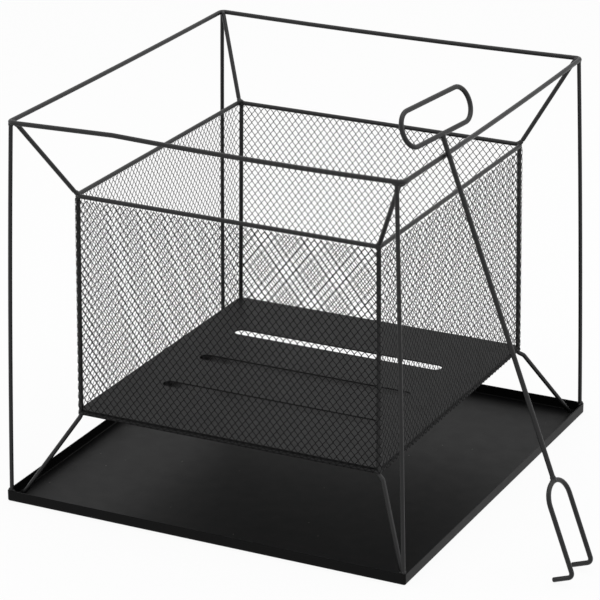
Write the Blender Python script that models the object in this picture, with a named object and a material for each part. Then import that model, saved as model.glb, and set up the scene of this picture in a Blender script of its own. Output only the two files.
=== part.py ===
"""Open fire basket of welded wire: a wire-mesh basket hung in a rod frame over an ash tray, with a poker."""

from math import acos, cos, pi, radians, sin, sqrt, tan

import bmesh
import bpy
from mathutils import Matrix, Vector

# All lengths are in metres. The origin is on the ground under the middle of the ash tray,
# +X points to the side where the poker leans, -Y to the front and +Z up.

# Gap left between pieces that touch or are welded together
SEAT_GAP = 0.0003

# Ash tray of folded sheet
TRAY_WIDTH = 0.4294
TRAY_DEPTH = 0.4532
TRAY_RIM = 0.0114
TRAY_SHEET = 0.001

# Outer top ring, a bent rod whose rails sag a little, with a kink in the front one
OUTER_WIDTH = 0.407
OUTER_DEPTH = 0.430
OUTER_HEIGHT = 0.388
OUTER_BEND = 0.0055
OUTER_ROD = 0.0046
FRONT_KINK_PLACE = 0.27
FRONT_KINK_RISE = 0.0028
FRONT_SAG = 0.0019
RIGHT_SAG = 0.0021
BACK_SAG = 0.0018
LEFT_SAG = 0.0011

# Posts that stand in the tray's corners and carry the outer ring. Their tops are welded under
# its bends, but for one that was welded beside its bend, at this inset from the rails' corner.
# The welding left them slightly bowed outwards.
POST_ROD = 0.0041
POST_BOW = 0.0011
POST_TOP_INSETS = {"front_right": (0.0062, 0.0)}

# Basket rods, measured between the centre lines of opposite ones: at the top a ring with tight
# bends, at the foot straight rails. The ring hangs a little out of level: lower by its fall at the
# back right corner and higher by it at the front left one.
BASKET_ROD = 0.0044
BASKET_TOP_WIDTH = 0.320
BASKET_TOP_DEPTH = 0.3385
BASKET_TOP_HEIGHT = 0.306
BASKET_TOP_BEND = 0.0055
BASKET_TOP_FALL = 0.0015
BASKET_FOOT_WIDTH = 0.322
BASKET_FOOT_DEPTH = 0.3405
BASKET_FOOT_HEIGHT = 0.0826

# Struts from the outer ring's corners to the top of the basket ring's bends, and corner rods
# from under those bends along the basket and down to the tray. One corner rod was welded off the
# middle of its bend. The foot rails' ends are butt welded to the corner rods, which stand where
# the rails' lines cross. Below them the corner rods are cranked outwards before they lead down,
# but for one that leads down at once.
CORNER_ROD = 0.0044
OFF_BEND_MIDDLE = {"back_left": -0.0019}
STRUT_AIM_INSET = 0.0043
UNCRANKED = ("front_left",)
UNCRANKED_BEND = 0.008
CRANK_BEND = 0.003
CRANK_DROP = 0.0031
CRANK_LENGTH_X = 0.0057
CRANK_LENGTH_Y = 0.0028
CRANK_FALL = 0.0033
STRUT_FOOT_INSET_X = 0.0088
STRUT_FOOT_INSET_Y = 0.0135

# Wire mesh, in counts of diamonds along and up each side
MESH_THICKNESS = 0.0012
MESH_STRAND = 0.0024
MESH_COLUMNS = 7
MESH_ROWS = 4
MESH_FOOT_RISE = 0.0034
MESH_TOP_DROP = 0.0025

# Base plate that lies on the foot rails, with round corners that clear the corner rods and three
# round-ended slots, punched a little off its middle
PLATE_THICKNESS = 0.0015
PLATE_CORNER = 0.007
SLOT_LENGTH = 0.235
SLOT_WIDTH = 0.014
SLOT_SPACING = 0.078
SLOT_COUNT = 3
SLOTS_OFF_X = -0.003
SLOTS_OFF_Y = 0.0025

# Poker, all of one rod: a handle loop, a shaft and a two-pronged fork with bent tips. The shaft
# runs from the fork's crown, over the right rail, to the handle's lower bar a little past it.
POKER_ROD = 0.0047
HANDLE_PAST_RAIL = 0.0195
HANDLE_BAR_LENGTH = 0.0852
HANDLE_HEIGHT = 0.0336
FORK_SPREAD = 0.0375
FORK_LENGTH = 0.0884
HOOK_LENGTH = 0.0219
HOOK_BEND = 0.005
POKER_LEAN = radians(21.54)
POKER_TURN = radians(-6.37)
POKER_PLACE_Y = -0.1256

# Facets round a rod and along its bends, and where a domed end has its one ring of vertices
ROD_SIDES = 10
BEND_STEPS = 4
SAG_STEPS = 6
DOME_SHOULDER = radians(37)

CORNERS = {
    "front_left": (-1, -1),
    "front_right": (1, -1),
    "back_right": (1, 1),
    "back_left": (-1, 1),
}


def paint(name, colour, roughness):
    """Black powder coat on steel."""
    material = bpy.data.materials.new(name)
    material.use_nodes = True
    shader = material.node_tree.nodes["Principled BSDF"]
    shader.inputs["Base Color"].default_value = (*colour, 1.0)
    shader.inputs["Roughness"].default_value = roughness
    shader.inputs["Metallic"].default_value = 0.0
    material.diffuse_color = (*colour, 1.0)
    return material


def make_object(name, bm, colour, roughness=0.5, smooth=True):
    """Closes a bmesh into a named object with its own material."""
    bmesh.ops.recalc_face_normals(bm, faces=bm.faces)
    mesh = bpy.data.meshes.new(name)
    bm.to_mesh(mesh)
    bm.free()
    if smooth:
        mesh.shade_smooth()
        mesh.set_sharp_from_angle(angle=radians(40))
    mesh.materials.append(paint(name + "_paint", colour, roughness))
    obj = bpy.data.objects.new(name, mesh)
    bpy.context.scene.collection.objects.link(obj)
    return obj


def arc_at(before, corner, after, radius):
    """Points of the round bend that replaces the corner between two straight runs."""
    back = (before - corner).normalized()
    ahead = (after - corner).normalized()
    opening = acos(max(-1.0, min(1.0, back.dot(ahead))))
    turn = pi - opening
    run = radius * tan(turn / 2)
    start = corner + back * run
    middle = (back + ahead).normalized()
    centre = corner + middle * (radius / cos(turn / 2))
    radial = start - centre
    forward = -back
    return [centre + radial * cos(turn * i / BEND_STEPS) + forward * (radius * sin(turn * i / BEND_STEPS))
            for i in range(BEND_STEPS + 1)]


def bent(points, radii):
    """An open rod's centre line, with a round bend of the given radius at each inner point."""
    path = [points[0]]
    for before, corner, after, radius in zip(points, points[1:], points[2:], radii):
        path += arc_at(before, corner, after, radius)
    return path + [points[-1]]


def ring_corners(width, depth, height, bend):
    """Four round bends of a rectangular ring, from the front left one, anticlockwise."""
    corners = [Vector((sx * width / 2, sy * depth / 2, height)) for sx, sy in CORNERS.values()]
    return [arc_at(corners[i - 1], corners[i], corners[(i + 1) % 4], bend) for i in range(4)]


def sag_drop(share, sag):
    """How far a rail hangs below its ends, at a share of its length."""
    return 4 * sag * share * (1 - share)


def sagging(start, end, sag, way=Vector((0, 0, -1))):
    """Inner points of a rod that hangs or bows between two points."""
    shares = [i / SAG_STEPS for i in range(1, SAG_STEPS)]
    return [start.lerp(end, share) + way * sag_drop(share, sag) for share in shares]


def outer_ring_path():
    """Centre line of the outer top ring."""
    front_left, front_right, back_right, back_left = ring_corners(
        OUTER_WIDTH, OUTER_DEPTH, OUTER_HEIGHT, OUTER_BEND)
    kink = front_left[-1].lerp(front_right[0], FRONT_KINK_PLACE) + Vector((0, 0, FRONT_KINK_RISE))
    path = front_left + [kink]
    path += sagging(kink, front_right[0], FRONT_SAG) + front_right
    path += sagging(front_right[-1], back_right[0], RIGHT_SAG) + back_right
    path += sagging(back_right[-1], back_left[0], BACK_SAG) + back_left
    return path + sagging(back_left[-1], front_left[0], LEFT_SAG)


def circle_at(bm, centre, side, over, radius):
    """One ring of vertices round a rod's centre line."""
    angles = [2 * pi * i / ROD_SIDES for i in range(ROD_SIDES)]
    return [bm.verts.new(centre + side * (radius * cos(a)) + over * (radius * sin(a))) for a in angles]


def join_circles(bm, first, second):
    """A band of faces between two rings of vertices."""
    for i in range(ROD_SIDES):
        j = (i + 1) % ROD_SIDES
        bm.faces.new((first[i], first[j], second[j], second[i]))


def closed_rod(name, path, normal, diameter, colour):
    """A rod bent into a closed ring, whose plane has the given normal."""
    bm = bmesh.new()
    circles = []
    for i, point in enumerate(path):
        along = (path[(i + 1) % len(path)] - path[i - 1]).normalized()
        side = along.cross(normal).normalized()
        circles.append(circle_at(bm, point, side, side.cross(along), diameter / 2))
    for i in range(len(circles)):
        join_circles(bm, circles[i - 1], circles[i])
    return make_object(name, bm, colour)


def open_rod(name, path, diameter, colour, domed_start=False, domed_end=False):
    """A bent rod with flat or domed ends; a dome reaches half a diameter past the path's end."""
    bm = bmesh.new()
    radius = diameter / 2
    along = (path[1] - path[0]).normalized()
    side = along.orthogonal().normalized()
    circles = []
    sections = [(path[0], along, 1.0)]
    for before, point, after in zip(path, path[1:], path[2:]):
        sections.append((point, (after - before).normalized(), 1.0))
    last = (path[-1] - path[-2]).normalized()
    sections.append((path[-1], last, 1.0))
    if domed_start:
        sections.insert(0, (path[0] - along * radius * sin(DOME_SHOULDER), along, cos(DOME_SHOULDER)))
    if domed_end:
        sections.append((path[-1] + last * radius * sin(DOME_SHOULDER), last, cos(DOME_SHOULDER)))
    for centre, direction, share in sections:
        side = (side - direction * side.dot(direction)).normalized()
        circles.append(circle_at(bm, centre, side, direction.cross(side), radius * share))
    for first, second in zip(circles, circles[1:]):
        join_circles(bm, first, second)
    ends = (
        (circles[0], path[0] - along * radius, domed_start),
        (circles[-1], path[-1] + last * radius, domed_end),
    )
    for circle, tip_place, domed in ends:
        if domed:
            tip = bm.verts.new(tip_place)
            for i in range(ROD_SIDES):
                bm.faces.new((circle[i], circle[(i + 1) % ROD_SIDES], tip))
        else:
            bm.faces.new(circle)
    return make_object(name, bm, colour)


def distance_to_ring(point, path):
    """Shortest way from a point to a closed centre line."""
    nearest = []
    for i in range(len(path)):
        run = path[i] - path[i - 1]
        share = max(0.0, min(1.0, (point - path[i - 1]).dot(run) / run.length_squared))
        nearest.append((point - path[i - 1] - run * share).length)
    return min(nearest)


def end_against(start, aim, path, reach):
    """The point on the way from start to aim that comes within reach of a ring first."""
    low, high = 0.0, 1.0
    for _ in range(40):
        middle = (low + high) / 2
        if distance_to_ring(start.lerp(aim, middle), path) > reach:
            low = middle
        else:
            high = middle
    return start.lerp(aim, low)


def make_tray():
    """Shallow tray folded from sheet, with square corners."""
    bm = bmesh.new()
    inner = (TRAY_WIDTH / 2 - TRAY_SHEET, TRAY_DEPTH / 2 - TRAY_SHEET)
    outer = (TRAY_WIDTH / 2, TRAY_DEPTH / 2)
    levels = ((outer, 0.0), (outer, TRAY_RIM), (inner, TRAY_RIM), (inner, TRAY_SHEET))
    loops = [[bm.verts.new((sx * half[0], sy * half[1], z)) for sx, sy in CORNERS.values()]
             for half, z in levels]
    for lower, upper in zip(loops, loops[1:]):
        for i in range(4):
            bm.faces.new((lower[i - 1], lower[i], upper[i], upper[i - 1]))
    bm.faces.new(loops[0])
    bm.faces.new(loops[-1])
    make_object("ash_tray", bm, (0.012, 0.012, 0.013), 0.35, smooth=False)


def make_post(place, corner, outer_path):
    """Post from the tray's floor, in its corner, to the underside of the outer ring."""
    sx, sy = corner
    inset = TRAY_SHEET + SEAT_GAP + POST_ROD / 2
    foot = Vector((sx * (TRAY_WIDTH / 2 - inset), sy * (TRAY_DEPTH / 2 - inset), TRAY_SHEET + SEAT_GAP))
    under_bend = OUTER_BEND * (1 - sqrt(0.5))
    inset_x, inset_y = POST_TOP_INSETS.get(place, (under_bend, under_bend))
    aim = Vector((sx * (OUTER_WIDTH / 2 - inset_x), sy * (OUTER_DEPTH / 2 - inset_y), OUTER_HEIGHT))
    top = end_against(foot, aim, outer_path, (OUTER_ROD + POST_ROD) / 2 + SEAT_GAP)
    path = [foot] + sagging(foot, top, POST_BOW, Vector((sx, sy, 0)).normalized()) + [top]
    open_rod("post_" + place, path, POST_ROD, (0.020, 0.020, 0.021), domed_end=True)


def rim_height(x, y):
    """Height of the basket's top ring, which hangs out of level, at a place in plan."""
    return BASKET_TOP_HEIGHT - BASKET_TOP_FALL * (x / BASKET_TOP_WIDTH + y / BASKET_TOP_DEPTH)


def on_rim_bend(corner, off_middle=0.0):
    """A place on the centre line of the basket ring's bend, at its middle or so far off it."""
    sx, sy = corner
    out = Vector((sx, sy)).normalized() * BASKET_TOP_BEND
    out.rotate(Matrix.Rotation(off_middle / BASKET_TOP_BEND, 2))
    x = sx * (BASKET_TOP_WIDTH / 2 - BASKET_TOP_BEND) + out.x
    y = sy * (BASKET_TOP_DEPTH / 2 - BASKET_TOP_BEND) + out.y
    return Vector((x, y, rim_height(x, y)))


def rim_path():
    """Centre line of the basket's top ring."""
    path = [point for arc in ring_corners(BASKET_TOP_WIDTH, BASKET_TOP_DEPTH, 0.0, BASKET_TOP_BEND)
            for point in arc]
    for point in path:
        point.z = rim_height(point.x, point.y)
    return path


def at_foot(corner):
    """Where a corner rod passes the foot rails."""
    sx, sy = corner
    return Vector((sx * BASKET_FOOT_WIDTH / 2, sy * BASKET_FOOT_DEPTH / 2, BASKET_FOOT_HEIGHT))


def make_strut(place, corner, outer_path, inner_path):
    """Slanting rod from the outer ring's corner to the top of the basket ring's bend."""
    sx, sy = corner
    foot = on_rim_bend(corner)
    aim = Vector((sx * (OUTER_WIDTH / 2 - STRUT_AIM_INSET), sy * (OUTER_DEPTH / 2 - STRUT_AIM_INSET),
                  OUTER_HEIGHT))
    middle = foot.lerp(aim, 0.5)
    path = [end_against(middle, aim, outer_path, (OUTER_ROD + CORNER_ROD) / 2 + SEAT_GAP),
            end_against(middle, foot, inner_path, (BASKET_ROD + CORNER_ROD) / 2 + SEAT_GAP)]
    open_rod("strut_" + place, path, CORNER_ROD, (0.020, 0.020, 0.021), True, True)


def make_corner_rod(place, corner, inner_path):
    """One rod from under the basket ring's bend, down along the basket and out to the tray's floor."""
    sx, sy = corner
    ankle = at_foot(corner) - Vector((0, 0, CRANK_DROP))
    heel = ankle + Vector((sx * CRANK_LENGTH_X, sy * CRANK_LENGTH_Y, -CRANK_FALL))
    foot = Vector((
        sx * (TRAY_WIDTH / 2 - TRAY_SHEET - STRUT_FOOT_INSET_X),
        sy * (TRAY_DEPTH / 2 - TRAY_SHEET - STRUT_FOOT_INSET_Y),
        TRAY_SHEET + SEAT_GAP + CORNER_ROD / 2))
    rim = on_rim_bend(corner, OFF_BEND_MIDDLE.get(place, 0.0))
    top = end_against(ankle, rim, inner_path, (BASKET_ROD + CORNER_ROD) / 2 + SEAT_GAP)
    if place in UNCRANKED:
        path = bent([top, ankle, foot], (UNCRANKED_BEND,))
    else:
        path = bent([top, ankle, heel, foot], (CRANK_BEND, CRANK_BEND))
    open_rod("corner_rod_" + place, path, CORNER_ROD, (0.020, 0.020, 0.021), domed_start=True)


def make_foot_rail(name, turn):
    """One rail under the plate, from corner rod to corner rod; turn counts sides from the front."""
    corners = list(CORNERS.values())
    first, second = at_foot(corners[turn]), at_foot(corners[(turn + 1) % 4])
    end_gap = (second - first).normalized() * (CORNER_ROD / 2 + SEAT_GAP)
    open_rod(name, [first + end_gap, second - end_gap], BASKET_ROD, (0.020, 0.020, 0.021))


def wall_reach(turn, top):
    """Half length of a mesh wall, and how far out its inner face lies, at its top or its foot."""
    if top:
        width, depth, corner = BASKET_TOP_WIDTH, BASKET_TOP_DEPTH, on_rim_bend((1, 1))
    else:
        width, depth, corner = BASKET_FOOT_WIDTH, BASKET_FOOT_DEPTH, at_foot((1, 1))
    out = max(BASKET_ROD, CORNER_ROD) / 2 + SEAT_GAP
    return (corner.x, depth / 2 + out) if turn % 2 == 0 else (corner.y, width / 2 + out)


def mesh_point(turn, across, up, outer):
    """A point of one mesh wall: across from -1 to 1, up from 0 to 1, turn counts walls from the front."""
    turned = Matrix.Rotation(turn * pi / 2, 3, "Z")
    places = []
    for top in (False, True):
        along, out = wall_reach(turn, top)
        place = turned @ Vector((along * across, -out - MESH_THICKNESS * outer, 0))
        if top:
            place.z = rim_height(place.x, place.y) - MESH_TOP_DROP
        else:
            place.z = BASKET_FOOT_HEIGHT + MESH_FOOT_RISE
        places.append(place)
    return places[0].lerp(places[1], up)


def mesh_cells():
    """Corners of each diamond or half diamond, anticlockwise, in half cells along and up a wall."""
    wide, high = 2 * MESH_COLUMNS, 2 * MESH_ROWS
    for i in range(wide + 1):
        for j in range(high + 1):
            if (i + j) % 2 == 1:
                diamond = [(i - 1, j), (i, j - 1), (i + 1, j), (i, j + 1)]
                yield [(x, y) for x, y in diamond if 0 <= x <= wide and 0 <= y <= high]


def inset_polygon(corners, margin):
    """A convex polygon, anticlockwise, with every side moved in by the margin."""
    count = len(corners)
    lines = []
    for k in range(count):
        start, end = corners[k], corners[(k + 1) % count]
        along = (end - start).normalized()
        lines.append((start + Vector((-along.y, along.x)) * margin, along))
    inner = []
    for k in range(count):
        (p, u), (q, v) = lines[k - 1], lines[k]
        share = (q - p).cross(v) / u.cross(v)
        inner.append(p + u * share)
    return inner


def make_mesh_wall(name, turn):
    """One wall of expanded wire mesh, a flat net of diamonds."""
    half = wall_reach(turn, top=True)[0]
    tall = BASKET_TOP_HEIGHT - MESH_TOP_DROP - BASKET_FOOT_HEIGHT - MESH_FOOT_RISE
    bm = bmesh.new()
    made = {}

    def through(key, place):
        """The two vertices, on the inner and the outer face, at one place of the wall."""
        if key not in made:
            made[key] = [bm.verts.new(mesh_point(turn, place.x / half, place.y / tall, outer))
                         for outer in (0, 1)]
        return made[key]

    for cell in mesh_cells():
        corners = [Vector((half * (i / MESH_COLUMNS - 1), tall * j / (2 * MESH_ROWS))) for i, j in cell]
        rim = [through(index, place) for index, place in zip(cell, corners)]
        gap = [through((index, *cell), place)
               for index, place in zip(cell, inset_polygon(corners, MESH_STRAND / 2))]
        for k, (i, j) in enumerate(cell):
            a, b, c, d = rim[k - 1], rim[k], gap[k], gap[k - 1]
            for face in (0, 1):
                bm.faces.new((a[face], b[face], c[face], d[face]))
            bm.faces.new((d[0], c[0], c[1], d[1]))
            before = cell[k - 1]
            along_side = i == before[0] and i in (0, 2 * MESH_COLUMNS)
            along_edge = j == before[1] and j in (0, 2 * MESH_ROWS)
            if along_side or along_edge:
                bm.faces.new((a[0], b[0], b[1], a[1]))
    make_object(name, bm, (0.016, 0.016, 0.017), 0.6, smooth=False)


def make_base_plate():
    """Floor of the basket, which lies on the foot rails, with slots that drop ash and draw air."""
    low = BASKET_FOOT_HEIGHT + BASKET_ROD / 2 + SEAT_GAP
    bm = bmesh.new()
    outlines = [[point for arc in ring_corners(
        BASKET_FOOT_WIDTH, BASKET_FOOT_DEPTH, low, PLATE_CORNER) for point in arc]]
    straight = (SLOT_LENGTH - SLOT_WIDTH) / 2
    for row in range(SLOT_COUNT):
        middle = (row - (SLOT_COUNT - 1) / 2) * SLOT_SPACING + SLOTS_OFF_Y
        slot = []
        for end, first in ((1, -pi / 2), (-1, pi / 2)):
            for i in range(2 * BEND_STEPS + 1):
                angle = first + pi * i / (2 * BEND_STEPS)
                slot.append(Vector((
                    SLOTS_OFF_X + end * straight + SLOT_WIDTH / 2 * cos(angle),
                    middle + SLOT_WIDTH / 2 * sin(angle), low)))
        outlines.append(slot)
    edges = []
    for outline in outlines:
        verts = [bm.verts.new(point) for point in outline]
        edges += [bm.edges.new((verts[i - 1], verts[i])) for i in range(len(verts))]
    bmesh.ops.triangle_fill(bm, use_beauty=True, use_dissolve=False, edges=edges)
    lifted = bmesh.ops.extrude_face_region(bm, geom=bm.faces[:])
    top = [item for item in lifted["geom"] if isinstance(item, bmesh.types.BMVert)]
    bmesh.ops.translate(bm, verts=top, vec=(0, 0, PLATE_THICKNESS))
    make_object("base_plate", bm, (0.030, 0.030, 0.032), 0.5, smooth=False)


def lean_poker():
    """The poker's place, tips on the ground and shaft on the right rail, and the shaft's length."""
    turned = Matrix.Rotation(POKER_TURN, 3, "Z") @ Matrix.Rotation(-POKER_LEAN, 3, "Y")
    shaft = turned @ Vector((0, 0, 1))
    hook = turned @ Vector((-1, 0, 0))
    tip = turned @ Vector((-HOOK_LENGTH, 0, -FORK_LENGTH))
    crown_height = POKER_ROD / 2 * sqrt(1 - hook.z ** 2) - tip.z
    share = POKER_PLACE_Y / (OUTER_DEPTH - 2 * OUTER_BEND) + 0.5
    climb = OUTER_HEIGHT - sag_drop(share, RIGHT_SAG) - crown_height
    reach = (POKER_ROD + OUTER_ROD) / 2 + SEAT_GAP
    across = sqrt(shaft.x ** 2 + shaft.z ** 2)
    stand_off = (reach * across - climb * shaft.x) / shaft.z
    crown = Vector((OUTER_WIDTH / 2 + stand_off, POKER_PLACE_Y - shaft.y / shaft.z * climb, crown_height))
    to_rail = (climb * shaft.z - stand_off * shaft.x) / across ** 2
    return Matrix.Translation(crown) @ turned.to_4x4(), to_rail + HANDLE_PAST_RAIL


def make_poker():
    """Shaft, handle loop and fork, built upright round the fork's crown and then leaned."""
    placed, shaft_length = lean_poker()
    seat = POKER_ROD / 2 + SEAT_GAP
    shaft = [Vector((0, 0, seat)), Vector((0, 0, shaft_length - seat))]
    open_rod("poker_shaft", [placed @ p for p in shaft], POKER_ROD, (0.020, 0.020, 0.021))
    loop_radius = HANDLE_HEIGHT / 2
    loop = []
    for end, first in ((1, -pi / 2), (-1, pi / 2)):
        for i in range(3 * BEND_STEPS + 1):
            angle = first + pi * i / (3 * BEND_STEPS)
            loop.append(Vector((
                0, end * HANDLE_BAR_LENGTH / 2 + loop_radius * cos(angle),
                shaft_length + loop_radius + loop_radius * sin(angle))))
    normal = placed.to_3x3() @ Vector((1, 0, 0))
    closed_rod("poker_handle", [placed @ p for p in loop], normal, POKER_ROD, (0.020, 0.020, 0.021))
    half = FORK_SPREAD / 2
    crown = []
    for i in range(3 * BEND_STEPS + 1):
        angle = pi - pi * i / (3 * BEND_STEPS)
        crown.append(Vector((0, half * cos(angle), half * sin(angle) - half)))
    prongs = []
    for side in (-1, 1):
        tine_top = Vector((0, side * half, -half))
        heel = Vector((0, side * half, -FORK_LENGTH))
        tip = Vector((-HOOK_LENGTH, side * half, -FORK_LENGTH))
        prongs.append([tip] + arc_at(tip, heel, tine_top, HOOK_BEND))
    path = prongs[0] + crown + prongs[1][::-1]
    open_rod("poker_fork", [placed @ p for p in path], POKER_ROD, (0.020, 0.020, 0.021))


def make_fire_basket():
    """Every sub-part of the fire basket, each as one named object."""
    outer_path = outer_ring_path()
    inner_path = rim_path()
    make_tray()
    closed_rod("outer_top_ring", outer_path, Vector((0, 0, 1)), OUTER_ROD, (0.020, 0.020, 0.021))
    for place, corner in CORNERS.items():
        make_post(place, corner, outer_path)
        make_strut(place, corner, outer_path, inner_path)
        make_corner_rod(place, corner, inner_path)
    closed_rod("basket_top_ring", inner_path, Vector((0, 0, 1)), BASKET_ROD, (0.020, 0.020, 0.021))
    for turn, side in enumerate(("front", "right", "back", "left")):
        make_foot_rail("foot_rail_" + side, turn)
        make_mesh_wall("mesh_" + side, turn)
    make_base_plate()
    make_poker()


for old in list(bpy.data.objects):
    bpy.data.objects.remove(old, do_unlink=True)
make_fire_basket()
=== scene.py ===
from math import cos, pi, radians, sin, sqrt, tan

import bmesh
import bpy
from mathutils import Matrix, Vector


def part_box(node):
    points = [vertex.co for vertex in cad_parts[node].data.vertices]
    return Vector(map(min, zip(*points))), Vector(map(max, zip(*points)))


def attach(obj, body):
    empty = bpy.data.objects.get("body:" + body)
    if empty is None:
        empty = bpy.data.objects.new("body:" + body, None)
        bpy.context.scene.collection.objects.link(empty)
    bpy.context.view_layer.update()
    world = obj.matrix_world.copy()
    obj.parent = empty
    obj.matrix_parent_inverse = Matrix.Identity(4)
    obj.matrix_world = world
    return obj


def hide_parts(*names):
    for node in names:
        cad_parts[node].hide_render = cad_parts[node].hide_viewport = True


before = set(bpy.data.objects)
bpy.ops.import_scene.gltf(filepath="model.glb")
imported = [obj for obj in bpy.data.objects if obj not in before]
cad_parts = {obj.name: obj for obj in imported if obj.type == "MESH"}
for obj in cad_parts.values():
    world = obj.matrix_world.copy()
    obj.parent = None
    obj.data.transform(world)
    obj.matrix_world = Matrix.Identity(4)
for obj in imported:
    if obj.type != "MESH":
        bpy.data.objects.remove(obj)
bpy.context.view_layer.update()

# Camera: a long lens well back from the bowl, a little above its rim and turned towards the
# corner beside the poker, as in the catalogue picture.
CAMERA_TURN = radians(26.4)
CAMERA_RISE = radians(21.0)
CAMERA_ROLL = radians(-0.20)
CAMERA_DISTANCE = 2.9735
CAMERA_LENS = 179.34
AIM_HEIGHT = 0.18315
AIM_RIGHT = -0.00468
AIM_UP = -0.01319

toward = Vector((sin(CAMERA_TURN) * cos(CAMERA_RISE), -cos(CAMERA_TURN) * cos(CAMERA_RISE), sin(CAMERA_RISE)))
right = Vector((cos(CAMERA_TURN), sin(CAMERA_TURN), 0))
up = toward.cross(right)
aim = Vector((0, 0, AIM_HEIGHT)) + right * AIM_RIGHT + up * AIM_UP
rolled_right = right * cos(CAMERA_ROLL) + up * sin(CAMERA_ROLL)
rolled_up = toward.cross(rolled_right)
camera = bpy.data.objects.new("camera", bpy.data.cameras.new("camera"))
bpy.context.scene.collection.objects.link(camera)
camera.data.lens = CAMERA_LENS
camera.matrix_world = Matrix.Translation(aim + toward * CAMERA_DISTANCE) @ Matrix(
    (rolled_right, rolled_up, toward)).transposed().to_4x4()
bpy.context.scene.camera = camera

# Ash tray: one blank of 1 mm steel sheet with its four rims folded up square and the corners
# closed, powder coated a satin black inside and out. It stands loose on the ground.
TRAY_SHEET = 0.001
TRAY_FOLD = 0.0021
SHEET_EDGE = 0.00025
EDGE_ANGLE = radians(50)
SHEET_SMOOTH = radians(35)
TRAY_COLOUR = (0.0012, 0.0012, 0.0013)
TRAY_ROUGHNESS = 0.42
TRAY_GLOSS = 0.085
TRAY_DUST = 0.16
TONE_CLOUDS = 26
TONE_SPREAD = 0.22
GLOSS_CLOUDS = 60
GLOSS_SPREAD = 0.06
PEEL_GRAIN = 1100
PEEL_STRENGTH = 0.35
PEEL_HEIGHT = 0.0001
DUST_CELLS = 95
DUST_RADIUS = 0.045
DUST_COLOUR = (0.20, 0.19, 0.18, 1)


def clouds(nodes, links, place, scale, detail):
    """Smooth random clouds over the coat, so many to a metre."""
    noise = nodes.new("ShaderNodeTexNoise")
    noise.inputs["Scale"].default_value = scale
    noise.inputs["Detail"].default_value = detail
    links.new(place, noise.inputs["Vector"])
    return noise.outputs["Fac"]


def is_under(nodes, links, value, limit):
    """1 where a value is under a limit, and 0 elsewhere."""
    below = nodes.new("ShaderNodeMath")
    below.operation = "LESS_THAN"
    below.inputs[1].default_value = limit
    links.new(value, below.inputs[0])
    return below.outputs["Value"]


def powder_coat(name, colour, roughness, gloss, dust=0.0):
    """Powder coat baked on steel: an orange peel skin, cloudy gloss and a few specks of dust."""
    coat = bpy.data.materials.new(name)
    coat.use_nodes = True
    nodes, links = coat.node_tree.nodes, coat.node_tree.links
    shader = nodes["Principled BSDF"]
    shader.inputs["Specular IOR Level"].default_value = gloss
    place = nodes.new("ShaderNodeTexCoord").outputs["Object"]

    tone = nodes.new("ShaderNodeMapRange")
    tone.inputs["To Min"].default_value = 1 - TONE_SPREAD
    tone.inputs["To Max"].default_value = 1 + TONE_SPREAD
    links.new(clouds(nodes, links, place, TONE_CLOUDS, 4), tone.inputs["Value"])
    shade = nodes.new("ShaderNodeVectorMath")
    shade.operation = "SCALE"
    shade.inputs[0].default_value = colour
    links.new(tone.outputs["Result"], shade.inputs["Scale"])

    cells = nodes.new("ShaderNodeTexVoronoi")
    cells.inputs["Scale"].default_value = DUST_CELLS
    links.new(place, cells.inputs["Vector"])
    kind = nodes.new("ShaderNodeSeparateColor")
    links.new(cells.outputs["Color"], kind.inputs["Color"])
    speck = nodes.new("ShaderNodeMath")
    speck.operation = "MULTIPLY"
    links.new(is_under(nodes, links, cells.outputs["Distance"], DUST_RADIUS), speck.inputs[0])
    links.new(is_under(nodes, links, kind.outputs["Red"], dust), speck.inputs[1])
    dusted = nodes.new("ShaderNodeMix")
    dusted.data_type = "RGBA"
    dusted.inputs["B"].default_value = DUST_COLOUR
    links.new(speck.outputs["Value"], dusted.inputs["Factor"])
    links.new(shade.outputs["Vector"], dusted.inputs["A"])
    links.new(dusted.outputs["Result"], shader.inputs["Base Color"])

    sheen = nodes.new("ShaderNodeMapRange")
    sheen.inputs["To Min"].default_value = roughness - GLOSS_SPREAD
    sheen.inputs["To Max"].default_value = roughness + GLOSS_SPREAD
    links.new(clouds(nodes, links, place, GLOSS_CLOUDS, 5), sheen.inputs["Value"])
    links.new(sheen.outputs["Result"], shader.inputs["Roughness"])

    skin = nodes.new("ShaderNodeBump")
    skin.inputs["Strength"].default_value = PEEL_STRENGTH
    skin.inputs["Distance"].default_value = PEEL_HEIGHT
    links.new(clouds(nodes, links, place, PEEL_GRAIN, 2), skin.inputs["Height"])
    links.new(skin.outputs["Normal"], shader.inputs["Normal"])
    return coat


def begin(name):
    """Names the primitive just added and moves its place and turn into its mesh."""
    piece = bpy.context.object
    piece.name = piece.data.name = name
    bpy.ops.object.transform_apply(location=True, rotation=True, scale=True)
    return piece


def pick(piece, kind, test):
    """In edit mode, selects only the vertices, edges or faces that pass a test."""
    bpy.ops.mesh.select_mode(type=kind)
    bpy.ops.mesh.select_all(action="DESELECT")
    bm = bmesh.from_edit_mesh(piece.data)
    for item in {"VERT": bm.verts, "EDGE": bm.edges, "FACE": bm.faces}[kind]:
        if test(item):
            item.select_set(True)
    bm.select_flush_mode()
    bmesh.update_edit_mesh(piece.data)


def apply_modifier(piece, kind, **settings):
    """Adds a modifier with the given settings and applies it."""
    modifier = piece.modifiers.new(kind.lower(), kind)
    for setting, value in settings.items():
        setattr(modifier, setting, value)
    bpy.context.view_layer.objects.active = piece
    bpy.ops.object.modifier_apply(modifier=modifier.name)


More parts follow.
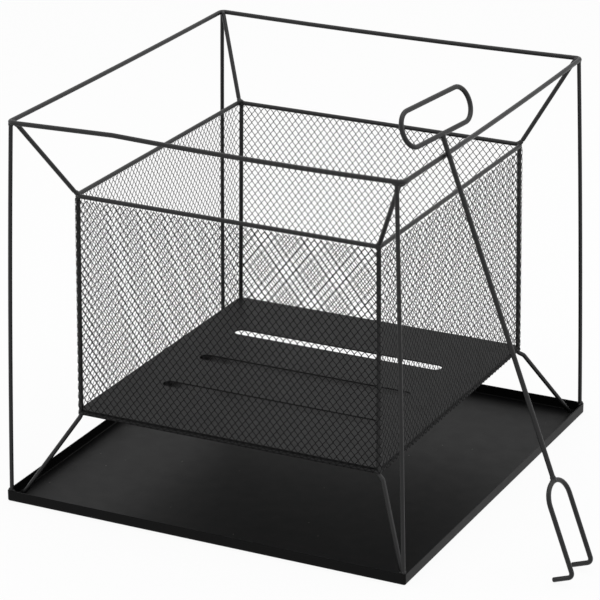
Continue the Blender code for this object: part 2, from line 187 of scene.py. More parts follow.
tray_low, tray_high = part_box("ash_tray")
bpy.ops.object.select_all(action="DESELECT")
bpy.ops.mesh.primitive_cube_add(size=1, location=(tray_low + tray_high) / 2, scale=tray_high - tray_low)
tray = begin("tray")
bpy.ops.object.mode_set(mode="EDIT")
pick(tray, "FACE", lambda face: face.normal.z > 0.9)
bpy.ops.mesh.delete(type="ONLY_FACE")
pick(tray, "EDGE", lambda edge: min(vert.co.z for vert in edge.verts) < tray_high.z / 2)
bpy.ops.mesh.bevel(offset=TRAY_FOLD, segments=6, affect="EDGES")
bpy.ops.object.mode_set(mode="OBJECT")
apply_modifier(tray, "SOLIDIFY", thickness=TRAY_SHEET, offset=-1, use_even_offset=True)
apply_modifier(tray, "BEVEL", width=SHEET_EDGE, segments=2, limit_method="ANGLE", angle_limit=EDGE_ANGLE)
bpy.ops.object.shade_smooth_by_angle(angle=SHEET_SMOOTH)
apply_modifier(tray, "WEIGHTED_NORMAL", keep_sharp=True)
tray.data.materials.append(powder_coat("tray_coat", TRAY_COLOUR, TRAY_ROUGHNESS, TRAY_GLOSS, TRAY_DUST))
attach(tray, "frame")
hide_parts("ash_tray")

# Outer top ring: one 4.6 mm rod bent to a rectangle and butt welded. Its rails sag a little, and
# the front one has a slight kink near the corner away from the poker.
OUTER_ROD = 0.0046
OUTER_BEND = 0.0055
KINK_PLACE = 0.27
KINK_RISE = 0.0028
RAIL_SAGS = {"front": 0.0019, "right": 0.0021, "back": 0.0018, "left": 0.0011}
RAIL_STEPS = 8
ROD_SIDES = 20
BEND_STEPS = 8
ROD_SMOOTH = radians(40)
MERGE = 0.00002
ROD_COLOUR = (0.0045, 0.0045, 0.0048)
ROD_ROUGHNESS = 0.40
ROD_GLOSS = 0.34

CORNERS = {"front_left": (-1, -1), "front_right": (1, -1), "back_right": (1, 1), "back_left": (-1, 1)}


def draw_rod(name, stops, diameter):
    """A round rod drawn from stop to stop, each a place and the radius to which the rod is bent there."""
    here = stops[0][0]
    facing = (stops[1][0] - here).to_track_quat("Z", "Y").to_euler()
    bpy.ops.object.select_all(action="DESELECT")
    bpy.ops.mesh.primitive_circle_add(
        vertices=ROD_SIDES, radius=diameter / 2, fill_type="NGON", location=here, rotation=facing)
    rod = begin(name)
    bpy.ops.object.mode_set(mode="EDIT")
    bpy.ops.mesh.select_mode(type="FACE")
    bpy.ops.mesh.select_all(action="SELECT")
    for (place, radius), (after, _) in zip(stops[1:], stops[2:] + [stops[-1]]):
        if radius == 0:
            bpy.ops.mesh.extrude_region_move(TRANSFORM_OT_translate={"value": place - here})
            here = place
            continue
        way_in = (place - here).normalized()
        way_out = (after - place).normalized()
        turn = way_in.angle(way_out)
        run = radius * tan(turn / 2)
        start = place - way_in * run
        inwards = (way_out - way_in * way_out.dot(way_in)).normalized()
        bpy.ops.mesh.extrude_region_move(TRANSFORM_OT_translate={"value": start - here})
        bpy.ops.mesh.spin(
            steps=max(3, round(BEND_STEPS * turn / (pi / 2))), angle=turn,
            center=start + inwards * radius, axis=way_out.cross(way_in))
        here = place + way_out * run
    bpy.ops.object.mode_set(mode="OBJECT")
    return rod


def close_ring(rod):
    """Joins a rod's two ends where they meet, and takes out the faces between them."""
    bpy.ops.object.mode_set(mode="EDIT")
    pick(rod, "FACE", lambda face: len(face.verts) == ROD_SIDES)
    bpy.ops.mesh.delete(type="ONLY_FACE")
    bpy.ops.mesh.select_all(action="SELECT")
    bpy.ops.mesh.remove_doubles(threshold=MERGE)
    bpy.ops.mesh.normals_make_consistent(inside=False)
    bpy.ops.object.mode_set(mode="OBJECT")
    bpy.ops.object.shade_smooth_by_angle(angle=ROD_SMOOTH)


def round_ends(rod, edge):
    """Rounds the edges of a rod's two ends."""
    bpy.ops.object.mode_set(mode="EDIT")
    pick(rod, "FACE", lambda face: len(face.verts) == ROD_SIDES)
    bpy.ops.mesh.bevel(offset=edge, segments=4, affect="EDGES")
    bpy.ops.mesh.select_all(action="SELECT")
    bpy.ops.mesh.normals_make_consistent(inside=False)
    bpy.ops.object.mode_set(mode="OBJECT")
    bpy.ops.object.shade_smooth_by_angle(angle=ROD_SMOOTH)


def ring_stops(half_width, half_depth, height, bend, steps):
    """Stops of a rectangular ring, anticlockwise from the front left bend's end, and back to it."""
    corners = [Vector((sx * half_width, sy * half_depth, height)) for sx, sy in CORNERS.values()]
    stops = []
    for corner, after in zip(corners, corners[1:] + corners[:1]):
        way = (after - corner).normalized()
        start, end = corner + way * bend, after - way * bend
        stops += [(start.lerp(end, i / steps), 0) for i in range(steps)] + [(after, bend)]
    return stops + [stops[0]]


outer_low, outer_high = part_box("outer_top_ring")
outer_half_x = outer_high.x - OUTER_ROD / 2
outer_half_y = outer_high.y - OUTER_ROD / 2
outer_height = outer_high.z - KINK_RISE - OUTER_ROD / 2


def rail_rise(place):
    """How far the outer ring lies above its level there: below it where a rail sags, above at the kink."""
    span_x, span_y = outer_half_x - OUTER_BEND, outer_half_y - OUTER_BEND
    share_x = min(1, max(0, (place.x / span_x + 1) / 2))
    share_y = min(1, max(0, (place.y / span_y + 1) / 2))
    if abs(place.x) > span_x:
        side = "right" if place.x > 0 else "left"
        return -4 * RAIL_SAGS[side] * share_y * (1 - share_y)
    if place.y > 0:
        return -4 * RAIL_SAGS["back"] * share_x * (1 - share_x)
    if share_x < KINK_PLACE:
        return KINK_RISE * share_x / KINK_PLACE
    rest = (share_x - KINK_PLACE) / (1 - KINK_PLACE)
    return KINK_RISE * (1 - rest) - 4 * RAIL_SAGS["front"] * rest * (1 - rest)


outer_stops = ring_stops(outer_half_x, outer_half_y, outer_height, OUTER_BEND, RAIL_STEPS)
kink_x = (2 * KINK_PLACE - 1) * (outer_half_x - OUTER_BEND)
kink = (Vector((kink_x, -outer_half_y, outer_height)), 0)
outer_stops.insert(next(i for i, stop in enumerate(outer_stops) if stop[0].x > kink_x), kink)
outer_ring = draw_rod("outer_ring", outer_stops, OUTER_ROD)
close_ring(outer_ring)
for vert in outer_ring.data.vertices:
    vert.co.z += rail_rise(vert.co)
rod_coat = powder_coat("rod_coat", ROD_COLOUR, ROD_ROUGHNESS, ROD_GLOSS)
outer_ring.data.materials.append(rod_coat)
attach(outer_ring, "frame")
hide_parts("outer_top_ring")

# Posts: four 4.1 mm rods that stand on the tray's floor in its corners and are welded under the
# outer ring's bends, one of them beside its bend. The welding pulled them slightly outwards.
POST_ROD = 0.0041
POST_INSET = 0.0013
POST_BOW = 0.0011
POST_STEPS = 10
POST_ASIDE = {"front_right": (0.0062, 0.0)}
WELD_GRAIN = 0.00045
WELD_SMOOTHING = 8
POST_FOOT_DROPS = ((0.0020, 0.0026), (0.0050, 0.0026), (0.0080, 0.0026), (0.0105, 0.0023))
POST_FOOT_RUNS = (0.0025, 0.0040)
POST_FOOT_RUN_HEIGHT = 0.0098
POST_FOOT_RUN_SIZE = 0.0011


def weld(name, spots):
    """A run of weld: drops of metal, each a place and a radius, melted into one smooth bead."""
    bpy.ops.object.select_all(action="DESELECT")
    drops = []
    for place, radius in spots:
        bpy.ops.mesh.primitive_ico_sphere_add(subdivisions=3, radius=radius, location=place)
        drops.append(bpy.context.object)
    for drop in drops:
        drop.select_set(True)
    bpy.context.view_layer.objects.active = drops[0]
    if len(drops) > 1:
        bpy.ops.object.join()
    bead = begin(name)
    apply_modifier(bead, "REMESH", mode="VOXEL", voxel_size=WELD_GRAIN)
    apply_modifier(bead, "SMOOTH", factor=0.5, iterations=WELD_SMOOTHING)
    bpy.ops.object.shade_smooth()
    return bead


under_bend = OUTER_BEND * (1 - sqrt(0.5))
post_tops = {}
for place, (sx, sy) in CORNERS.items():
    inset = POST_INSET + POST_ROD / 2
    foot = Vector((sx * (tray_high.x - inset), sy * (tray_high.y - inset), POST_INSET))
    aside_x, aside_y = POST_ASIDE.get(place, (under_bend, under_bend))
    top = Vector((sx * (outer_half_x - aside_x), sy * (outer_half_y - aside_y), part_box("post_" + place)[1].z))
    post_tops[place] = top
    stops = [(foot.lerp(top, i / POST_STEPS), 0) for i in range(POST_STEPS + 1)]
    post = draw_rod("rod_post_" + place, stops, POST_ROD)
    outwards = Vector((sx, sy, 0)).normalized()
    for vert in post.data.vertices:
        share = (vert.co.z - foot.z) / (top.z - foot.z)
        vert.co += outwards * (4 * POST_BOW * share * (1 - share))
    bpy.ops.object.shade_smooth_by_angle(angle=ROD_SMOOTH)
    post.data.materials.append(rod_coat)
    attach(post, "frame")
    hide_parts("post_" + place)

    in_corner = foot + Vector((sx, sy, 0)) * (POST_ROD / 6)
    on_rim = in_corner + Vector((0, 0, POST_FOOT_RUN_HEIGHT))
    spots = [(in_corner + Vector((0, 0, rise)), size) for rise, size in POST_FOOT_DROPS]
    spots += [(on_rim + Vector((-sx * run, 0, 0)), POST_FOOT_RUN_SIZE) for run in POST_FOOT_RUNS]
    spots += [(on_rim + Vector((0, -sy * run, 0)), POST_FOOT_RUN_SIZE) for run in POST_FOOT_RUNS]
    bead = weld("weld_post_foot_" + place, spots)
    bead.data.materials.append(rod_coat)
    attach(bead, "frame")

# Basket rim: a ring of 4.4 mm rod with tight bends, hung a little out of level, with the weld
# metal that melted over its corners when the struts and the corner rods were joined to it.
BASKET_ROD = 0.0044
RIM_BEND = 0.0055
RIM_FALL = 0.0015
RIM_STEPS = 2
UPRIGHT_ASIDE = {"back_left": -0.0019}
ABOVE_RIM_DROPS = ((0.0, 0.0014, 0.0028), (0.0012, 0.00312, 0.0025))
UNDER_RIM_DROPS = ((-0.0014, 0.0026), (-0.0034, 0.0024))
RIM_WEBS = {
    "front_left": ((0.0012, 0.0030, 0.0020, 0.0020), (0.0008, 0.0052, 0.0014, 0.0017),
                   (0.0036, 0.0010, -0.0006, 0.0022)),
    "front_right": ((0.0030, 0.0012, -0.0018, 0.0020), (0.0042, 0.0012, -0.0014, 0.0016),
                    (0.0012, 0.0030, 0.0008, 0.0021)),
    "back_right": ((0.0030, 0.0010, 0.0018, 0.0020), (0.0052, 0.0008, 0.0012, 0.0017),
                   (0.0010, 0.0034, 0.0000, 0.0022)),
    "back_left": ((0.0034, 0.0010, 0.0020, 0.0021), (0.0052, 0.0008, 0.0014, 0.0016),
                  (0.0052, 0.0008, -0.0014, 0.0016), (0.0010, 0.0030, 0.0002, 0.0021)),
}

rim_low, rim_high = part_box("basket_top_ring")
rim_half_x, rim_half_y = rim_high.x - BASKET_ROD / 2, rim_high.y - BASKET_ROD / 2
rim_level = (rim_low.z + rim_high.z) / 2


def rim_height(x, y):
    """Height of the basket's rim, which hangs a little out of level."""
    return rim_level - RIM_FALL / 2 * (x / rim_half_x + y / rim_half_y)


def on_rim_bend(corner, off_middle=0.0):
    """A place on the centre line of the rim's bend, at its middle or so far off it."""
    sx, sy = corner
    out = Vector((sx, sy)).normalized() * RIM_BEND
    out.rotate(Matrix.Rotation(off_middle / RIM_BEND, 2))
    x, y = sx * (rim_half_x - RIM_BEND) + out.x, sy * (rim_half_y - RIM_BEND) + out.y
    return Vector((x, y, rim_height(x, y)))


rim = draw_rod("basket_rim", ring_stops(rim_half_x, rim_half_y, rim_level, RIM_BEND, RIM_STEPS), BASKET_ROD)
close_ring(rim)
for vert in rim.data.vertices:
    vert.co.z += rim_height(vert.co.x, vert.co.y) - rim_level
rim.data.materials.append(rod_coat)
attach(rim, "frame")
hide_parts("basket_top_ring")

for place, (sx, sy) in CORNERS.items():
    seat = on_rim_bend((sx, sy))
    under = on_rim_bend((sx, sy), UPRIGHT_ASIDE.get(place, 0.0))
    crossing = Vector((sx * rim_half_x, sy * rim_half_y, seat.z))
    spots = [(seat + Vector((sx * out, sy * out, rise)), size) for out, rise, size in ABOVE_RIM_DROPS]
    spots += [(under + Vector((0, 0, rise)), size) for rise, size in UNDER_RIM_DROPS]
    spots += [(crossing + Vector((-sx * x, -sy * y, z)), size) for x, y, z, size in RIM_WEBS[place]]
    bead = weld("weld_rim_" + place, spots)
    bead.data.materials.append(rod_coat)
    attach(bead, "frame")

# Struts: four 4.4 mm rods that carry the basket, each welded inside a bend of the outer ring and
# leading down and in to the top of the rim's bend.
CORNER_ROD = 0.0044
STRUT_AIM_INSET = 0.0043
ROUNDED_END = 0.0013
STRUT_TOP_DROPS = ((0.2, 0.0027), (0.6, 0.0027))
POST_TOP_DROPS = ((0.0, 0.0025), (0.3, 0.0025))
BETWEEN_TOPS_RISE = 0.0005
BETWEEN_TOPS_DROP = 0.0020
OUTER_WEBS = {
    "front_right": ((0.0100, 0.0002, -0.0022, 0.0014), (0.0080, 0.0004, -0.0028, 0.0018),
                    (0.0030, 0.0024, -0.0030, 0.0020), (0.0014, 0.0042, -0.0026, 0.0019),
                    (0.0006, 0.0062, -0.0016, 0.0017)),
    "front_left": ((0.0080, 0.0002, -0.0020, 0.0014),),
    "back_right": ((0.0002, 0.0080, -0.0020, 0.0014),),
}

for place, (sx, sy) in CORNERS.items():
    rod_low, rod_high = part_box("strut_" + place)
    seat = on_rim_bend((sx, sy))
    aim_point = Vector((
        sx * (outer_half_x - STRUT_AIM_INSET), sy * (outer_half_y - STRUT_AIM_INSET), outer_height))
    way = (aim_point - seat).normalized()
    foot = seat + way * ((rod_low.z + CORNER_ROD / 2 - seat.z) / way.z)
    top = seat + way * ((rod_high.z - CORNER_ROD / 2 - seat.z) / way.z)
    strut = draw_rod("rod_strut_" + place, [(top, 0), (foot, 0)], CORNER_ROD)
    round_ends(strut, ROUNDED_END)
    strut.data.materials.append(rod_coat)
    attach(strut, "frame")
    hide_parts("strut_" + place)

    bend_middle = Vector((sx * (outer_half_x - under_bend), sy * (outer_half_y - under_bend), outer_height))
    post_top = post_tops[place]
    spots = [(top.lerp(bend_middle, share), size) for share, size in STRUT_TOP_DROPS]
    spots += [(post_top.lerp(bend_middle, share), size) for share, size in POST_TOP_DROPS]
    spots += [(post_top.lerp(top, 0.5) + Vector((0, 0, BETWEEN_TOPS_RISE)), BETWEEN_TOPS_DROP)]
    crossing = Vector((sx * outer_half_x, sy * outer_half_y, outer_height))
    spots += [(crossing + Vector((-sx * x, -sy * y, z)), size) for x, y, z, size in OUTER_WEBS.get(place, ())]
    bead = weld("weld_outer_" + place, spots)
    bead.data.materials.append(rod_coat)
    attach(bead, "frame")

# Corner rods: four 4.4 mm rods from under the rim's bends straight down the basket's corners, then
# cranked out to the tray's floor, but for one that leads there at once.
CRANK_BEND = 0.003
CRANK_DROP = 0.0031
CRANK_LENGTH_X = 0.0057
CRANK_LENGTH_Y = 0.0028
CRANK_FALL = 0.0033
UNCRANKED = "front_left"
UNCRANKED_BEND = 0.008

base_half_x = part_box("foot_rail_right")[1].x - BASKET_ROD / 2
base_half_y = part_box("foot_rail_back")[1].y - BASKET_ROD / 2
base_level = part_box("foot_rail_back")[1].z - BASKET_ROD / 2

for place, (sx, sy) in CORNERS.items():
    rod_low, rod_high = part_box("corner_rod_" + place)
    top = on_rim_bend((sx, sy), UPRIGHT_ASIDE.get(place, 0.0))
    top.z = rod_high.z - CORNER_ROD / 2
    ankle = Vector((sx * base_half_x, sy * base_half_y, base_level - CRANK_DROP))
    heel = ankle + Vector((sx * CRANK_LENGTH_X, sy * CRANK_LENGTH_Y, -CRANK_FALL))
    reach_x = rod_high.x if sx > 0 else -rod_low.x
    reach_y = rod_high.y if sy > 0 else -rod_low.y
    radius = CORNER_ROD / 2
    foot = Vector((sx * (reach_x - radius), sy * (reach_y - radius), rod_low.z + radius))
    stops = [(top, 0), (ankle, CRANK_BEND), (heel, CRANK_BEND), (foot, 0)]
    if place == UNCRANKED:
        stops = [(top, 0), (ankle, UNCRANKED_BEND), (foot, 0)]
    rod = draw_rod("rod_corner_" + place, stops, CORNER_ROD)
    round_ends(rod, ROUNDED_END)
    rod.data.materials.append(rod_coat)
    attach(rod, "frame")
    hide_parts("corner_rod_" + place)

# Foot rails: four straight 4.4 mm rods between the corner rods, which carry the base plate. Their
# ends are butt welded, with a small bead round each. They get a duller, less glossy copy of the rod
# coat: painted shade for the dark gap between the plate and the tray.
FOOT_SHADE_COLOUR = (0.0055, 0.0055, 0.0058)
FOOT_ROUGHNESS = 0.50
FOOT_SHADE_GLOSS = 0.27
FOOT_WELD_MIDDLE = 0.0026
FOOT_WELD_RUNS = ((0.0022, 0.0026), (0.0038, 0.0023))

# Painted shade: the rod coat made duller and less glossy, so the foot rails look shaded between plate and tray.
foot_shade_coat = powder_coat("foot_shade_coat", FOOT_SHADE_COLOUR, FOOT_ROUGHNESS, FOOT_SHADE_GLOSS)
for turn, wall in enumerate(("front", "right", "back", "left")):
    rod_low, rod_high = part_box("foot_rail_" + wall)
    middle, half = (rod_low + rod_high) / 2, (rod_high - rod_low) / 2
    along = Vector((0, half.y, 0)) if turn % 2 else Vector((half.x, 0, 0))
    rail = draw_rod("rod_foot_" + wall, [(middle - along, 0), (middle + along, 0)], BASKET_ROD)
    bpy.ops.object.shade_smooth_by_angle(angle=ROD_SMOOTH)
    rail.data.materials.append(foot_shade_coat)
    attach(rail, "frame")
    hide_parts("foot_rail_" + wall)

for place, (sx, sy) in CORNERS.items():
    corner = Vector((sx * base_half_x, sy * base_half_y, base_level))
    spots = [(corner, FOOT_WELD_MIDDLE)]
    spots += [(corner + Vector((-sx * run, 0, 0)), size) for run, size in FOOT_WELD_RUNS]
    spots += [(corner + Vector((0, -sy * run, 0)), size) for run, size in FOOT_WELD_RUNS]
    bead = weld("weld_foot_" + place, spots)
    bead.data.materials.append(rod_coat)
    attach(bead, "frame")

# Mesh walls: expanded steel mesh, a sheet slit and stretched to diamonds of 7.5 by 9 mm whose long
# way stands upright. It is wrapped round the outside of the rim, rails and corner rods and tacked on.
# NET_WALLS gives each wall's count of diamonds and how wide its strands came out.
SEAT_GAP = 0.0003
NET_WALLS = {"front": (44, 1.16), "right": (46, 1.02), "back": (44, 1.0), "left": (46, 0.86)}
NET_ROWS = 24
NET_THICKNESS = 0.00035
NET_BULGE = 0.00004
KNOT_HALF_WIDTH = 0.00048
KNOT_SIDE = 0.00040
KNOT_HALF_HEIGHT = 0.00092
KNOT_TOP = 0.00013
NET_TOP_DROP = 0.0025
NET_FOOT_DROP = 0.0010
NET_COLOUR = (0.0040, 0.0040, 0.0042)
NET_ROUGHNESS = 0.55
NET_GLOSS = 0.12


def flat_net(name, wide, high, columns, strand):
    """A flat sheet of expanded mesh up and right of the origin: one tile, repeated and trimmed."""
    half_width, side, half_height, top = (
        strand * size for size in (KNOT_HALF_WIDTH, KNOT_SIDE, KNOT_HALF_HEIGHT, KNOT_TOP))
    cell = Vector((wide / columns, high / NET_ROWS, 0))
    bpy.ops.object.select_all(action="DESELECT")
    bpy.ops.mesh.primitive_circle_add(vertices=8, radius=1, fill_type="NGON", rotation=(0, 0, pi / 8))
    net = begin(name)
    for vert in net.data.vertices:
        beside = abs(vert.co.x) > abs(vert.co.y)
        size = (half_width, side) if beside else (top, half_height)
        vert.co = (size[0] * (1 if vert.co.x > 0 else -1), size[1] * (1 if vert.co.y > 0 else -1), 0)
    bpy.ops.object.mode_set(mode="EDIT")
    for sx, sy in CORNERS.values():
        def slanted(edge, sx=sx, sy=sy):
            middle = (edge.verts[0].co + edge.verts[1].co) / 2
            run = edge.verts[0].co - edge.verts[1].co
            return (len(edge.link_faces) == 1 and middle.x * sx > top and middle.y * sy > side
                    and abs(run.x) > MERGE and abs(run.y) > MERGE)
        pick(net, "EDGE", slanted)
        knot_edge = Vector(((half_width + top) / 2 * sx, (side + half_height) / 2 * sy, 0))
        half_way = Vector((cell.x / 4 * sx, cell.y / 4 * sy, 0))
        bpy.ops.mesh.extrude_edges_move(TRANSFORM_OT_translate={"value": half_way - knot_edge})
    bpy.ops.mesh.select_all(action="SELECT")
    bpy.ops.transform.translate(value=(0, 0, -NET_THICKNESS / 2))
    bpy.ops.mesh.extrude_region_move(TRANSFORM_OT_translate={"value": (0, 0, NET_THICKNESS)})
    bpy.ops.mesh.select_all(action="SELECT")
    bpy.ops.mesh.normals_make_consistent(inside=False)

    def strand_end(face):
        middle = face.calc_center_median()
        return abs(abs(middle.x) - cell.x / 4) < MERGE and abs(abs(middle.y) - cell.y / 4) < MERGE
    pick(net, "FACE", strand_end)
    bpy.ops.mesh.delete(type="ONLY_FACE")
    pick(net, "EDGE", lambda edge: abs(edge.verts[0].co.z - edge.verts[1].co.z) > NET_THICKNESS / 2)
    bpy.ops.mesh.subdivide(number_cuts=1)
    pick(net, "VERT", lambda vert: abs(vert.co.z) < MERGE)
    bpy.ops.transform.shrink_fatten(value=NET_BULGE)
    bpy.ops.mesh.select_all(action="SELECT")
    bpy.ops.mesh.duplicate_move(TRANSFORM_OT_translate={"value": cell / 2})
    bpy.ops.mesh.select_all(action="SELECT")
    bpy.ops.mesh.remove_doubles(threshold=MERGE)
    bpy.ops.object.mode_set(mode="OBJECT")
    for count, step in ((columns + 1, (cell.x, 0, 0)), (NET_ROWS + 1, (0, cell.y, 0))):
        apply_modifier(
            net, "ARRAY", count=count, use_relative_offset=False, use_constant_offset=True,
            constant_offset_displace=step, use_merge_vertices=True, merge_threshold=MERGE)
    bpy.ops.object.mode_set(mode="EDIT")
    for place, way in (((0, 0, 0), (-1, 0, 0)), ((wide, 0, 0), (1, 0, 0)),
                       ((0, 0, 0), (0, -1, 0)), ((0, high, 0), (0, 1, 0))):
        bpy.ops.mesh.select_all(action="SELECT")
        bpy.ops.mesh.bisect(plane_co=place, plane_no=way, clear_outer=True, use_fill=True)
    bpy.ops.object.mode_set(mode="OBJECT")
    return net


def wrapped(turn, across, up, lift):
    """A place on the wrapped mesh: across a wall from -1 to 1, up it from 0 to 1, and off its middle."""
    long_wall = turn % 2
    half_along = (rim_half_y, base_half_y) if long_wall else (rim_half_x, base_half_x)
    half_out = (rim_half_x, base_half_x) if long_wall else (rim_half_y, base_half_y)
    bend = RIM_BEND * up
    straight = half_along[1] * (1 - up) + half_along[0] * up - bend
    centre = half_out[1] * (1 - up) + half_out[0] * up - bend
    reach = bend + BASKET_ROD / 2 + SEAT_GAP + NET_THICKNESS / 2
    side = 1 if across > 0 else -1
    travel = abs(across) * (straight + reach * pi / 4)
    angle = max(0, travel - straight) / reach
    facing = Vector((sin(angle), cos(angle)))
    plan = Vector((min(travel, straight), centre)) + facing * reach
    plan += facing * lift
    place = Matrix.Rotation(turn * pi / 2, 3, "Z") @ Vector((plan.x * side, -plan.y, 0))
    foot = base_level - NET_FOOT_DROP
    place.z = foot + (rim_height(place.x, place.y) - NET_TOP_DROP - foot) * up
    return place


net_coat = powder_coat("net_coat", NET_COLOUR, NET_ROUGHNESS, NET_GLOSS)
net_high = rim_level - NET_TOP_DROP - base_level + NET_FOOT_DROP
for turn, (wall, (columns, strand)) in enumerate(NET_WALLS.items()):
    net_wide = 2 * (base_half_y if turn % 2 else base_half_x)
    net = flat_net("net_" + wall, net_wide, net_high, columns, strand)
    for vert in net.data.vertices:
        vert.co = wrapped(turn, 2 * vert.co.x / net_wide - 1, vert.co.y / net_high, vert.co.z)
    bpy.ops.object.mode_set(mode="EDIT")
    bpy.ops.mesh.select_all(action="SELECT")
    bpy.ops.mesh.normals_make_consistent(inside=False)
    bpy.ops.object.mode_set(mode="OBJECT")
    bpy.ops.object.shade_smooth()
    net.data.materials.append(net_coat)
    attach(net, "frame")
    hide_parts("mesh_" + wall)

# Base plate: 1.5 mm steel sheet with round corners that lies on the foot rails, with three slots
# punched through it, where ash drops into the tray and air is drawn up.
PLATE_PAST_RAILS = 0.0015
PLATE_CORNER = 0.008
SLOT_LENGTH = 0.235
SLOT_WIDTH = 0.014
SLOT_SPACING = 0.078
SLOTS_OFF_X = -0.003
SLOTS_OFF_Y = 0.0025
PLATE_EDGE = 0.0003
PLATE_COLOUR = (0.0055, 0.0055, 0.0057)
PLATE_ROUGHNESS = 0.45
PLATE_GLOSS = 0.12

plate_low, plate_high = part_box("base_plate")
plate_size = plate_high - plate_low + Vector((2, 2, 0)) * PLATE_PAST_RAILS
bpy.ops.object.select_all(action="DESELECT")
bpy.ops.mesh.primitive_cube_add(size=1, location=(plate_low + plate_high) / 2, scale=plate_size)
plate = begin("plate")
bpy.ops.object.mode_set(mode="EDIT")
pick(plate, "EDGE", lambda edge: abs(edge.verts[0].co.z - edge.verts[1].co.z) > MERGE)
bpy.ops.mesh.bevel(offset=PLATE_CORNER, segments=10, affect="EDGES")
bpy.ops.object.mode_set(mode="OBJECT")
for row in (-1, 0, 1):
    bpy.ops.object.select_all(action="DESELECT")
    bpy.ops.mesh.primitive_cube_add(
        size=1, location=(SLOTS_OFF_X, row * SLOT_SPACING + SLOTS_OFF_Y, plate_low.z),
        scale=(SLOT_LENGTH, SLOT_WIDTH, SLOT_WIDTH))
    punch = begin("punch")
    bpy.ops.object.mode_set(mode="EDIT")
    pick(punch, "EDGE", lambda edge: abs(edge.verts[0].co.z - edge.verts[1].co.z) > MERGE)
    bpy.ops.mesh.bevel(offset=SLOT_WIDTH / 2 - MERGE, segments=10, affect="EDGES")
    bpy.ops.object.mode_set(mode="OBJECT")
    apply_modifier(plate, "BOOLEAN", operation="DIFFERENCE", object=punch)
    bpy.data.objects.remove(punch)
bpy.ops.object.select_all(action="DESELECT")
plate.select_set(True)
apply_modifier(plate, "BEVEL", width=PLATE_EDGE, segments=2, limit_method="ANGLE", angle_limit=EDGE_ANGLE)
bpy.ops.object.shade_smooth_by_angle(angle=SHEET_SMOOTH)
apply_modifier(plate, "WEIGHTED_NORMAL", keep_sharp=True)
plate.data.materials.append(powder_coat("plate_coat", PLATE_COLOUR, PLATE_ROUGHNESS, PLATE_GLOSS))
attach(plate, "frame")
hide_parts("base_plate")

# Poker: three lengths of 4.7 mm rod, a bent fork and a handle loop welded to a straight shaft. It
# leans loose on the right rail with the fork's bent tips on the ground.
POKER_ROD = 0.0047
HANDLE_BAR_LENGTH = 0.0852
HANDLE_HEIGHT = 0.0336
FORK_SPREAD = 0.0375
FORK_LENGTH = 0.0884
HOOK_LENGTH = 0.0219
HOOK_BEND = 0.005
TIP_EDGE = 0.0006
CROWN_WELD = ((0, 0.0006, 0.0031), (0, 0.0032, 0.0029), (-0.0035, -0.0002, 0.0026), (0.0035, -0.0002, 0.0026))
GRIP_WELD = ((0, -0.0010, 0.0029), (0, -0.0028, 0.0027), (-0.0025, 0, 0.0026), (0.0025, 0, 0.0026))

shaft_places = [vert.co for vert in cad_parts["poker_shaft"].data.vertices]
shaft_middle = (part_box("poker_shaft")[0].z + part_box("poker_shaft")[1].z) / 2
ends = []
for lower in (True, False):
    ring = {tuple(round(c, 6) for c in v) for v in shaft_places if (v.z < shaft_middle) == lower}
    ends.append(sum((Vector(v) for v in ring), Vector()) / len(ring))
shaft_way = (ends[1] - ends[0]).normalized()
crown_place = ends[0] - shaft_way * (POKER_ROD / 2 + SEAT_GAP)
handle_place = ends[1] + shaft_way * (POKER_ROD / 2 + SEAT_GAP)
sideways = Vector((0, 0, 1)).cross(shaft_way).normalized() * -1
forwards = sideways.cross(shaft_way)


def on_poker(start, out, side, along):
    """A place beside the poker: out of the fork's plane, across the fork, and along the shaft."""
    return start + forwards * out + sideways * side + shaft_way * along


shaft = draw_rod("poker_rod", [(ends[0], 0), (ends[1], 0)], POKER_ROD)
bpy.ops.object.shade_smooth_by_angle(angle=ROD_SMOOTH)
bar, high = HANDLE_BAR_LENGTH / 2, HANDLE_HEIGHT
handle_stops = [(on_poker(handle_place, 0, 0, 0), 0)]
handle_stops += [(on_poker(handle_place, 0, side * (bar + high / 2), rise), high / 2 - MERGE)
                 for side, rise in ((1, 0), (1, high), (-1, high), (-1, 0))]
handle = draw_rod("poker_loop", handle_stops + handle_stops[:1], POKER_ROD)
close_ring(handle)
half = FORK_SPREAD / 2
fork_stops = [(on_poker(crown_place, -HOOK_LENGTH, -half, -FORK_LENGTH), 0)]
fork_stops += [(on_poker(crown_place, 0, -half, -FORK_LENGTH), HOOK_BEND)]
fork_stops += [(on_poker(crown_place, 0, side * half, 0), half - MERGE) for side in (-1, 1)]
fork_stops += [(on_poker(crown_place, 0, half, -FORK_LENGTH), HOOK_BEND)]
fork_stops += [(on_poker(crown_place, -HOOK_LENGTH, half, -FORK_LENGTH), 0)]
fork = draw_rod("poker_prongs", fork_stops, POKER_ROD)
round_ends(fork, TIP_EDGE)
crown_weld = weld("weld_poker_crown", [
    (on_poker(crown_place, 0, side, along), size) for side, along, size in CROWN_WELD])
grip_weld = weld("weld_poker_grip", [
    (on_poker(handle_place, 0, side, along), size) for side, along, size in GRIP_WELD])
poker_coat = powder_coat("poker_coat", ROD_COLOUR, ROD_ROUGHNESS, ROD_GLOSS)
for piece, node in ((shaft, "poker_shaft"), (handle, "poker_handle"), (fork, "poker_fork"),
                    (crown_weld, None), (grip_weld, None)):
    piece.data.materials.append(poker_coat)
    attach(piece, "poker")
    if node:
        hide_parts(node)

# Studio: a white sweep that stays white to the camera, with one wide lamp overhead and a
# weaker one on each side, far enough off to keep the shadows soft.
FLOOR_SIZE = 12
PAPER_COLOUR = (0.85, 0.85, 0.85, 1)
PAPER_ROUGHNESS = 0.9
WORLD_LIGHT = 0.55
LAMP_AIM = Vector((0, 0, 0.2))
SHADOW_SHARE = 0.08
LAMPS = (
    ("overhead", (0.2, 0.3, 2.6), 2.6, 30),
    ("left", (-2.4, -1.2, 1.4), 1.8, 12),
    ("right", (2.6, 0.6, 1.6), 1.8, 14),
)

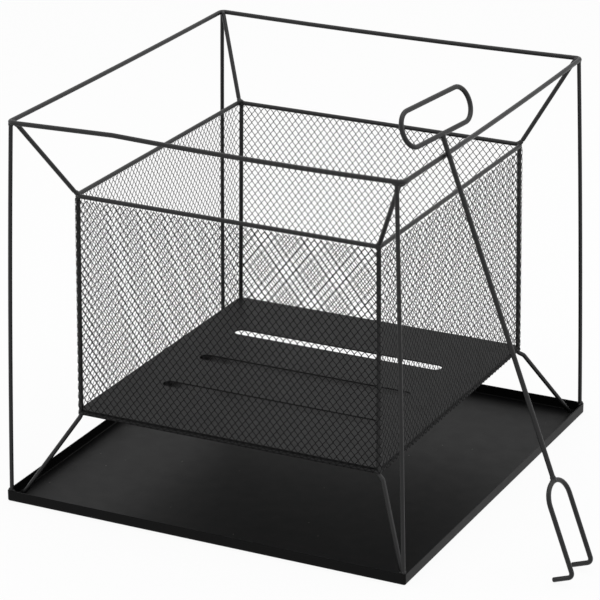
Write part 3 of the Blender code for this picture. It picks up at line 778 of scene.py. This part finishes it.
bpy.ops.object.select_all(action="DESELECT")
bpy.ops.mesh.primitive_plane_add(size=FLOOR_SIZE)
floor = begin("floor")
paper = bpy.data.materials.new("paper")
paper.use_nodes = True
nodes, links = paper.node_tree.nodes, paper.node_tree.links
nodes["Principled BSDF"].inputs["Base Color"].default_value = PAPER_COLOUR
nodes["Principled BSDF"].inputs["Roughness"].default_value = PAPER_ROUGHNESS
glow = nodes.new("ShaderNodeEmission")
seen = nodes.new("ShaderNodeLightPath")
straight_or_mirrored = nodes.new("ShaderNodeMath")
straight_or_mirrored.operation = "MAXIMUM"
links.new(seen.outputs["Is Camera Ray"], straight_or_mirrored.inputs[0])
links.new(seen.outputs["Is Glossy Ray"], straight_or_mirrored.inputs[1])
share = nodes.new("ShaderNodeMath")
share.operation = "MULTIPLY"
share.inputs[1].default_value = 1 - SHADOW_SHARE
links.new(straight_or_mirrored.outputs["Value"], share.inputs[0])
blend = nodes.new("ShaderNodeMixShader")
links.new(share.outputs["Value"], blend.inputs["Fac"])
links.new(nodes["Principled BSDF"].outputs["BSDF"], blend.inputs[1])
links.new(glow.outputs["Emission"], blend.inputs[2])
links.new(blend.outputs["Shader"], nodes["Material Output"].inputs["Surface"])
floor.data.materials.append(paper)

world = bpy.data.worlds.new("studio")
world.use_nodes = True
bpy.context.scene.world = world
nodes, links = world.node_tree.nodes, world.node_tree.links
seen = nodes.new("ShaderNodeLightPath")
bright = seen.outputs["Is Camera Ray"]
for ray in ("Is Glossy Ray", "Is Transmission Ray"):
    either = nodes.new("ShaderNodeMath")
    either.operation = "MAXIMUM"
    links.new(bright, either.inputs[0])
    links.new(seen.outputs[ray], either.inputs[1])
    bright = either.outputs["Value"]
level = nodes.new("ShaderNodeMapRange")
level.inputs["To Min"].default_value = WORLD_LIGHT
links.new(bright, level.inputs["Value"])
links.new(level.outputs["Result"], nodes["Background"].inputs["Strength"])
nodes["Background"].inputs["Color"].default_value = (1, 1, 1, 1)

for name, place, size, power in LAMPS:
    lamp = bpy.data.objects.new("lamp_" + name, bpy.data.lights.new("lamp_" + name, "AREA"))
    bpy.context.scene.collection.objects.link(lamp)
    lamp.data.size = size
    lamp.data.energy = power
    lamp.location = place
    lamp.rotation_euler = (Vector(place) - LAMP_AIM).to_track_quat("Z", "Y").to_euler()

bpy.context.scene.view_settings.view_transform = "Standard"
